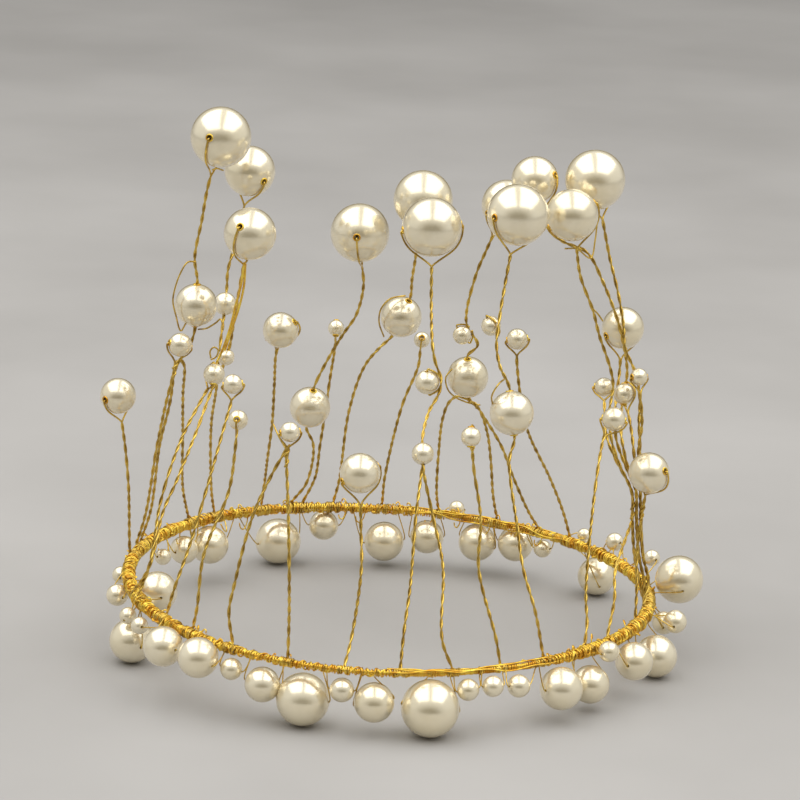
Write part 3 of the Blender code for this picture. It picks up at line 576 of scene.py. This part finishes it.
def pair_to_hoop(middle, turn, side, phase):
    """The twisted pair up a stem, with its two wires wound off round the hoop. Returns both wires."""
    one, two = twisted(middle, phase)
    feet = [foot_wrap(turn, 0.9, side, direction, RNG.uniform(1.6, 2.6)) for direction in (1, -1)]
    return np.concatenate([feet[0][::-1], one]), np.concatenate([feet[1][::-1], two])


def make_stem(name, stem, gold, pearl, rings):
    wires, beads = Shape(), Shape()
    base = foot_base(stem["foot"], stem["side"])
    bundle = bundle_points(stem)
    route, threaded = route_points(stem["route"], bundle[-1] if bundle else base)
    points = [base] + bundle + route
    tip = stem["tip"]
    x, y, z, diameter = PEARLS[tip] if tip in PEARLS else BEADS[tip]
    centre = np.array((x, y, z))
    drop = FORK_DROP if tip in PEARLS else BEAD_FORK_DROP
    fork = centre + unit(points[-1] - centre) * (diameter / 2 + drop)
    middle = spline(points + [fork], STEM_STEP)
    one, two = pair_to_hoop(middle, stem["foot"], stem["side"], RNG.uniform(0, 6))
    if tip in PEARLS:
        axis = JOINT_AXES[tip]
    else:
        axis = heading_axis(*stem.get("bore", (RNG.uniform(-190, -150), RNG.uniform(-15, 15))))
        beads.pearl(centre, diameter, axis)
    mouth_rings(rings, centre, diameter, axis)
    loop = loop_round(centre, diameter / 2, fork, axis)
    wires.tube(soften(np.concatenate([one, loop, two[::-1]])), TWIST_WIRE)
    for item, line in threaded:
        if item in PEARLS:
            mouth_rings(rings, np.array(PEARLS[item][:3]), PEARLS[item][3], JOINT_AXES[item])
        if item in BEADS:
            beads.pearl(BEADS[item][:3], BEADS[item][3], line)
    for item in stem.get("beside", []):
        spot = np.array(BEADS[item][:3])
        near = middle[np.argmin(np.linalg.norm(middle - spot, axis=1))]
        line = unit(np.cross(spot - near, (0.3, 1.0, 0.2)))
        beads.pearl(spot, BEADS[item][3], line)
        radius = BEADS[item][3] / 2
        loop = loop_round(spot, radius, spot + unit(near - spot) * (radius + 0.6), line)
        wires.tube(loop, TWIST_WIRE)
    for extra in stem.get("extra", []):
        start = foot_base(extra["foot"], extra["side"])
        run, _ = route_points([item for item in extra["route"] if not isinstance(item, str)], start)
        end = bundle[extra["joins"]] if "joins" in extra else None
        if end is None and isinstance(extra["route"][-1], str):
            bead = BEADS[extra["route"][-1]]
            end = np.array(bead[:3]) - np.array((0, 0, bead[3] / 2 + 0.6))
        leg = spline([start] + run + ([end] if end is not None else []), STEM_STEP)
        nearest = min(int(np.argmin(np.linalg.norm(middle - leg[-1], axis=1))), len(middle) - 16)
        wound = middle[nearest:nearest + 16]
        across, other = carried_frames(wound)
        angle = np.linspace(0, 4 * np.pi, len(wound))[:, None]
        tie = wound + TIE_RADIUS * (np.cos(angle) * across + np.sin(angle) * other)
        one, two = pair_to_hoop(leg, extra["foot"], extra["side"], RNG.uniform(0, 6))
        wires.tube(soften(np.concatenate([one, tie])), TWIST_WIRE)
        wires.tube(soften(two), TWIST_WIRE)
    wires.make(name + "_wire", gold, slot="gold_wire", replaces=[name])
    if beads.count:
        beads.make(name + "_beads", pearl, slot="pearl")


def make_strand(name, strand, gold, pearl):
    pearls, wires = Shape(), Shape()
    (first_turn, last_turn), row = strand[0], strand[1:]
    centres = [np.array((x, y, max(z, diameter / 2))) for x, y, z, diameter in row]
    turns = [math.degrees(math.atan2(centre[1], centre[0])) for centre in centres]
    run = [foot_base(first_turn, 1, -0.6)] + centres + [foot_base(last_turn, 1, -0.6)]
    path = []
    for place, centre in enumerate(centres):
        axis = run[place + 2] - run[place]
        axis = unit(axis * (1, 1, 0.5))
        radius = row[place][3] / 2
        pearls.pearl(centre, row[place][3], axis, STRAND_BORE)
        if place:
            middle = (turns[place] + turns[place - 1]) / 2
            if abs(turns[place] - turns[place - 1]) > 180:
                middle += 180
            path += [foot_wrap(middle, -0.9, 1, 1, 1.3)]
        path += [np.array([centre + axis * reach for reach in (-radius - 0.2, 1 - radius, radius - 1, radius + 0.2)])]
    start = foot_wrap(first_turn, -0.9, 1, 1, 2.2)
    finish = foot_wrap(last_turn, -0.9, 1, 1, 2.2)
    path = [start[::-1]] + path + [finish]
    wires.tube(soften(spline(np.concatenate(path), CURVE_STEP)), STRAND_WIRE)
    pearls.make(name + "_pearls", pearl, slot="pearl", replaces=[name])
    wires.make(name + "_wire", gold, slot="gold_wire")


def coil(shape, start, end, radius, pitch, wire, hand, uneven):
    """A wire wound unevenly round the hoop, from one turn to another."""
    length = math.radians(end - start) * HOOP_RADIUS
    pitches = pitch * (1 + uneven * RNG.uniform(-1, 1, int(length / pitch)))
    wraps = np.concatenate([[0], np.cumsum(pitches)])
    wraps *= length / wraps[-1]
    radii = radius + 0.13 * RNG.standard_normal(len(wraps))
    marks = np.arange(0, len(wraps) - 1, 1 / 12)
    spots = start + np.degrees(np.interp(marks, np.arange(len(wraps)), wraps) / HOOP_RADIUS)
    reach = np.interp(marks, np.arange(len(wraps)), radii)
    outward, _, up = hoop_axes(spots)
    reach = reach * girth(spots)
    angle = (hand * marks * 2 * np.pi)[:, None]
    spoke = outward * np.cos(angle) + up * np.sin(angle)
    shape.tube(hoop_point(spots) + spoke * reach[:, None], wire, sides=5)


def laid(shape, start, end, lean):
    """A strand laid along the hoop that slowly leans round it."""
    spots = np.arange(start, end, 0.8)
    outward, _, up = hoop_axes(spots)
    along = np.radians(spots)
    angle = (lean + 0.7 * np.sin(along * 9 + lean * 3) + 0.3 * np.sin(along * 31))[:, None]
    reach = (COIL_RADIUS * girth(spots) + COIL_WIRE * 1.7)[:, None]
    shape.tube(hoop_point(spots) + (outward * np.cos(angle) + up * np.sin(angle)) * reach, COIL_WIRE, sides=6)


def stray(shape, turn, height, length):
    """A small end of wire that leaves the hoop and curls back."""
    outward, along, up = hoop_axes(turn)
    angle = math.radians(height)
    spoke = outward * math.cos(angle) + up * math.sin(angle)
    aside = -outward * math.sin(angle) + up * math.cos(angle)
    start = hoop_point(turn) + spoke * COIL_RADIUS * girth(turn)
    lean = RNG.uniform(-0.7, 0.7)
    marks = [(0, 0), (0.55, 0.25), (0.95, 0.75), (0.85, 1.25), (0.45, 1.45)]
    points = [start + length * (out * spoke + 0.55 * over * (along + lean * aside)) for out, over in marks]
    shape.tube(spline(points, 0.25), STRAY_WIRE, sides=6)


def make_hoop(gold):
    core, winding = Shape(), Shape()
    core.tube(hoop_point(np.arange(0, 360, 2.0)), CORE_WIRE, sides=10, closed=True)
    coil(winding, 98, 458, COIL_RADIUS, COIL_PITCH, COIL_WIRE, 1, 0.35)
    for start, end, close, wide, wire in OVERWOUND:
        coil(winding, start, end, OVER_RADIUS, close, wire, -1, 0.4)
        coil(winding, start, end, OVER_RADIUS + 0.1, wide, wire, 1, 0.8)
    for start, end in LAID:
        for lean in LEANS:
            laid(winding, start + RNG.uniform(0, 4), end - RNG.uniform(0, 4), lean)
    for turn, height, length in STRAYS:
        stray(winding, turn, height, length)
    for start, end in CRINKLED:
        for turn in RNG.uniform(start, end, int((end - start) * CRINKLES)):
            stray(winding, turn, RNG.uniform(-20, 200), RNG.uniform(0.7, 1.5))
    core.make("hoop_core_wire", gold, slot="gold_winding", replaces=["hoop_core"])
    winding.make("hoop_winding_wire", gold, slot="gold_winding", replaces=["hoop_winding"])


def nodes_of(name):
    made = bpy.data.materials.new(name)
    made.use_nodes = True
    return made, made.node_tree, made.node_tree.nodes["Principled BSDF"]


def noise_ramp(tree, scale, detail, colours):
    place = tree.nodes.new("ShaderNodeTexCoord")
    noise = tree.nodes.new("ShaderNodeTexNoise")
    noise.inputs["Scale"].default_value = scale
    noise.inputs["Detail"].default_value = detail
    ramp = tree.nodes.new("ShaderNodeValToRGB")
    tree.links.new(place.outputs["Object"], noise.inputs["Vector"])
    tree.links.new(noise.outputs["Fac"], ramp.inputs["Fac"])
    ramp.color_ramp.elements[0].position, ramp.color_ramp.elements[1].position = 0.35, 0.65
    for stop, colour in zip(ramp.color_ramp.elements, colours):
        stop.color = (*colour, 1)
    return noise, ramp


def bump_from(tree, shader, source, strength, distance):
    bump = tree.nodes.new("ShaderNodeBump")
    bump.inputs["Strength"].default_value = strength
    bump.inputs["Distance"].default_value = distance
    tree.links.new(source, bump.inputs["Height"])
    tree.links.new(bump.outputs["Normal"], shader.inputs["Normal"])


def pearl_finish():
    made, tree, shader = nodes_of("pearl_coating")
    _, ramp = noise_ramp(tree, 160, 2, PEARL_COLOURS)
    tree.links.new(ramp.outputs["Color"], shader.inputs["Base Color"])
    shader.inputs["Metallic"].default_value = PEARL_METALLIC
    shader.inputs["Roughness"].default_value = PEARL_ROUGHNESS
    shader.inputs["Coat Weight"].default_value = 0.5
    shader.inputs["Coat Roughness"].default_value = 0.16
    fine, _ = noise_ramp(tree, 1800, 3, ((0, 0, 0), (1, 1, 1)))
    bump_from(tree, shader, fine.outputs["Fac"], 0.05, 0.0001)
    return made


def gold_finish(name, light, dark, roughness, metallic):
    made, tree, shader = nodes_of(name)
    noise, ramp = noise_ramp(tree, 420, 3, (dark, light))
    tree.links.new(ramp.outputs["Color"], shader.inputs["Base Color"])
    shader.inputs["Metallic"].default_value = metallic
    shader.inputs["Roughness"].default_value = roughness
    bump_from(tree, shader, noise.outputs["Fac"], 0.15, 0.0001)
    return made


def area_light(name, spot, size, size_y, power, colour):
    lamp = bpy.data.lights.new(name, "AREA")
    lamp.shape = "RECTANGLE"
    lamp.size, lamp.size_y = size, size_y
    lamp.energy = power
    lamp.color = colour
    made = bpy.data.objects.new(name, lamp)
    bpy.context.scene.collection.objects.link(made)
    made.location = spot
    return made


def make_studio():
    floor = bpy.data.meshes.new("floor")
    rim = [(FLOOR_RADIUS * math.cos(turn * math.pi / 32), FLOOR_RADIUS * math.sin(turn * math.pi / 32), 0)
           for turn in range(64)]
    floor.from_pydata(rim, [], [tuple(range(64))])
    slab = bpy.data.objects.new("floor", floor)
    bpy.context.scene.collection.objects.link(slab)
    slab.location.z = -0.0001
    made, tree, shader = nodes_of("pale_floor")
    _, ramp = noise_ramp(tree, 6, 4, FLOOR_COLOURS)
    tree.links.new(ramp.outputs["Color"], shader.inputs["Base Color"])
    shader.inputs["Roughness"].default_value = 0.8
    floor.materials.append(made)
    for side in (-1, 1):
        area_light(f"softbox_{side + 1}", (side * SOFTBOX_SIDE, 0.0, SOFTBOX_HEIGHT), *SOFTBOX_SIZE,
                   SOFTBOX_POWER, (1.0, 0.99, 0.97))
    make_world()


def make_world():
    """A room that is dark in front and behind and pale to the sides, for the dark patch in each pearl.

    The camera itself sees a plain pale wall instead.
    """
    world = bpy.data.worlds.new("studio")
    world.use_nodes = True
    bpy.context.scene.world = world
    tree = world.node_tree
    room = tree.nodes["Background"]
    place = tree.nodes.new("ShaderNodeTexCoord")
    flat = tree.nodes.new("ShaderNodeVectorMath")
    flat.operation = "MULTIPLY"
    flat.inputs[1].default_value = (1.0, 0.0, 1.5)
    size = tree.nodes.new("ShaderNodeVectorMath")
    size.operation = "LENGTH"
    ramp = tree.nodes.new("ShaderNodeValToRGB")
    ramp.color_ramp.elements[0].position, ramp.color_ramp.elements[1].position = 0.45, 0.95
    ramp.color_ramp.elements[0].color = (0.085, 0.06, 0.008, 1)
    ramp.color_ramp.elements[1].color = (0.66, 0.65, 0.63, 1)
    tree.links.new(place.outputs["Generated"], flat.inputs[0])
    tree.links.new(flat.outputs["Vector"], size.inputs[0])
    tree.links.new(size.outputs["Value"], ramp.inputs[0])
    tree.links.new(ramp.outputs[0], room.inputs["Color"])
    pale = tree.nodes.new("ShaderNodeBackground")
    pale.inputs["Color"].default_value = (0.42, 0.42, 0.41, 1)
    rays = tree.nodes.new("ShaderNodeLightPath")
    mix = tree.nodes.new("ShaderNodeMixShader")
    tree.links.new(rays.outputs["Is Camera Ray"], mix.inputs[0])
    tree.links.new(room.outputs[0], mix.inputs[1])
    tree.links.new(pale.outputs[0], mix.inputs[2])
    tree.links.new(mix.outputs[0], tree.nodes["World Output"].inputs["Surface"])


def make_camera():
    camera = bpy.data.cameras.new("camera")
    camera.lens, camera.sensor_width = LENS, SENSOR
    camera.clip_start, camera.clip_end = 0.05, 50
    made = bpy.data.objects.new("camera", camera)
    bpy.context.scene.collection.objects.link(made)
    bpy.context.scene.camera = made
    pitch, roll = math.radians(CAMERA_PITCH), math.radians(CAMERA_ROLL)
    back = Vector((0, -math.cos(pitch), math.sin(pitch)))
    up = Vector((0, math.sin(pitch), math.cos(pitch)))
    right = Vector((1, 0, 0))
    tilted_right = right * math.cos(roll) + up * math.sin(roll)
    tilted_up = up * math.cos(roll) - right * math.sin(roll)
    turned = Matrix((tilted_right, tilted_up, back)).transposed().to_4x4()
    aim = Vector(AIM) - Vector(ORIGIN)
    made.matrix_world = Matrix.Translation((aim + back * CAMERA_DISTANCE) * MM) @ turned


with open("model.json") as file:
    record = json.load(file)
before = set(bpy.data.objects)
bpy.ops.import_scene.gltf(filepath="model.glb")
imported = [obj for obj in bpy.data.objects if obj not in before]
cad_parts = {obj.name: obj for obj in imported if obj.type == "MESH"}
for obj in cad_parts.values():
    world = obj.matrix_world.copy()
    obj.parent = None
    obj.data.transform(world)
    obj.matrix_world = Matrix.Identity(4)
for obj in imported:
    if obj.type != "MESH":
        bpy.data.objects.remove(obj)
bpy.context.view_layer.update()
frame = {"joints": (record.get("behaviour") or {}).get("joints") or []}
JOINT_AXES = {joint["child"]: unit(joint["axis"]) for joint in frame["joints"]}

bpy.context.scene.view_settings.view_transform = "Standard"
make_camera()
make_studio()
pearl = pearl_finish()
gold = gold_finish("gold_wire", *STEM_GOLD)
wound_gold = gold_finish("gold_winding", *WOUND_GOLD)
make_hoop(wound_gold)
for name, strand in RIM_STRANDS.items():
    make_strand(name, strand, gold, pearl)
rings = Shape()
for name, stem in STEMS.items():
    make_stem(name, stem, gold, pearl, rings)
rings.make("mouth_rings", wound_gold, slot="gold_winding")
for name, points in LOOSE_WIRES.items():
    # The painted-light wires take the lighter winding gold as a painted highlight, and a thicker radius.
    painted_light = name in PAINTED_LIGHT_WIRES
    wire = Shape()
    wire.tube(spline(points, CURVE_STEP), BRIGHT_WIRE if painted_light else LOOSE_WIRE)
    wire.make(name, wound_gold if painted_light else gold, slot="gold_winding" if painted_light else "gold_wire")
for name, (x, y, z, diameter) in PEARLS.items():
    ball = Shape()
    ball.pearl((x, y, z), diameter, JOINT_AXES[name])
    ball.make(name + "_ball", pearl, body=name, slot="pearl", replaces=[name])
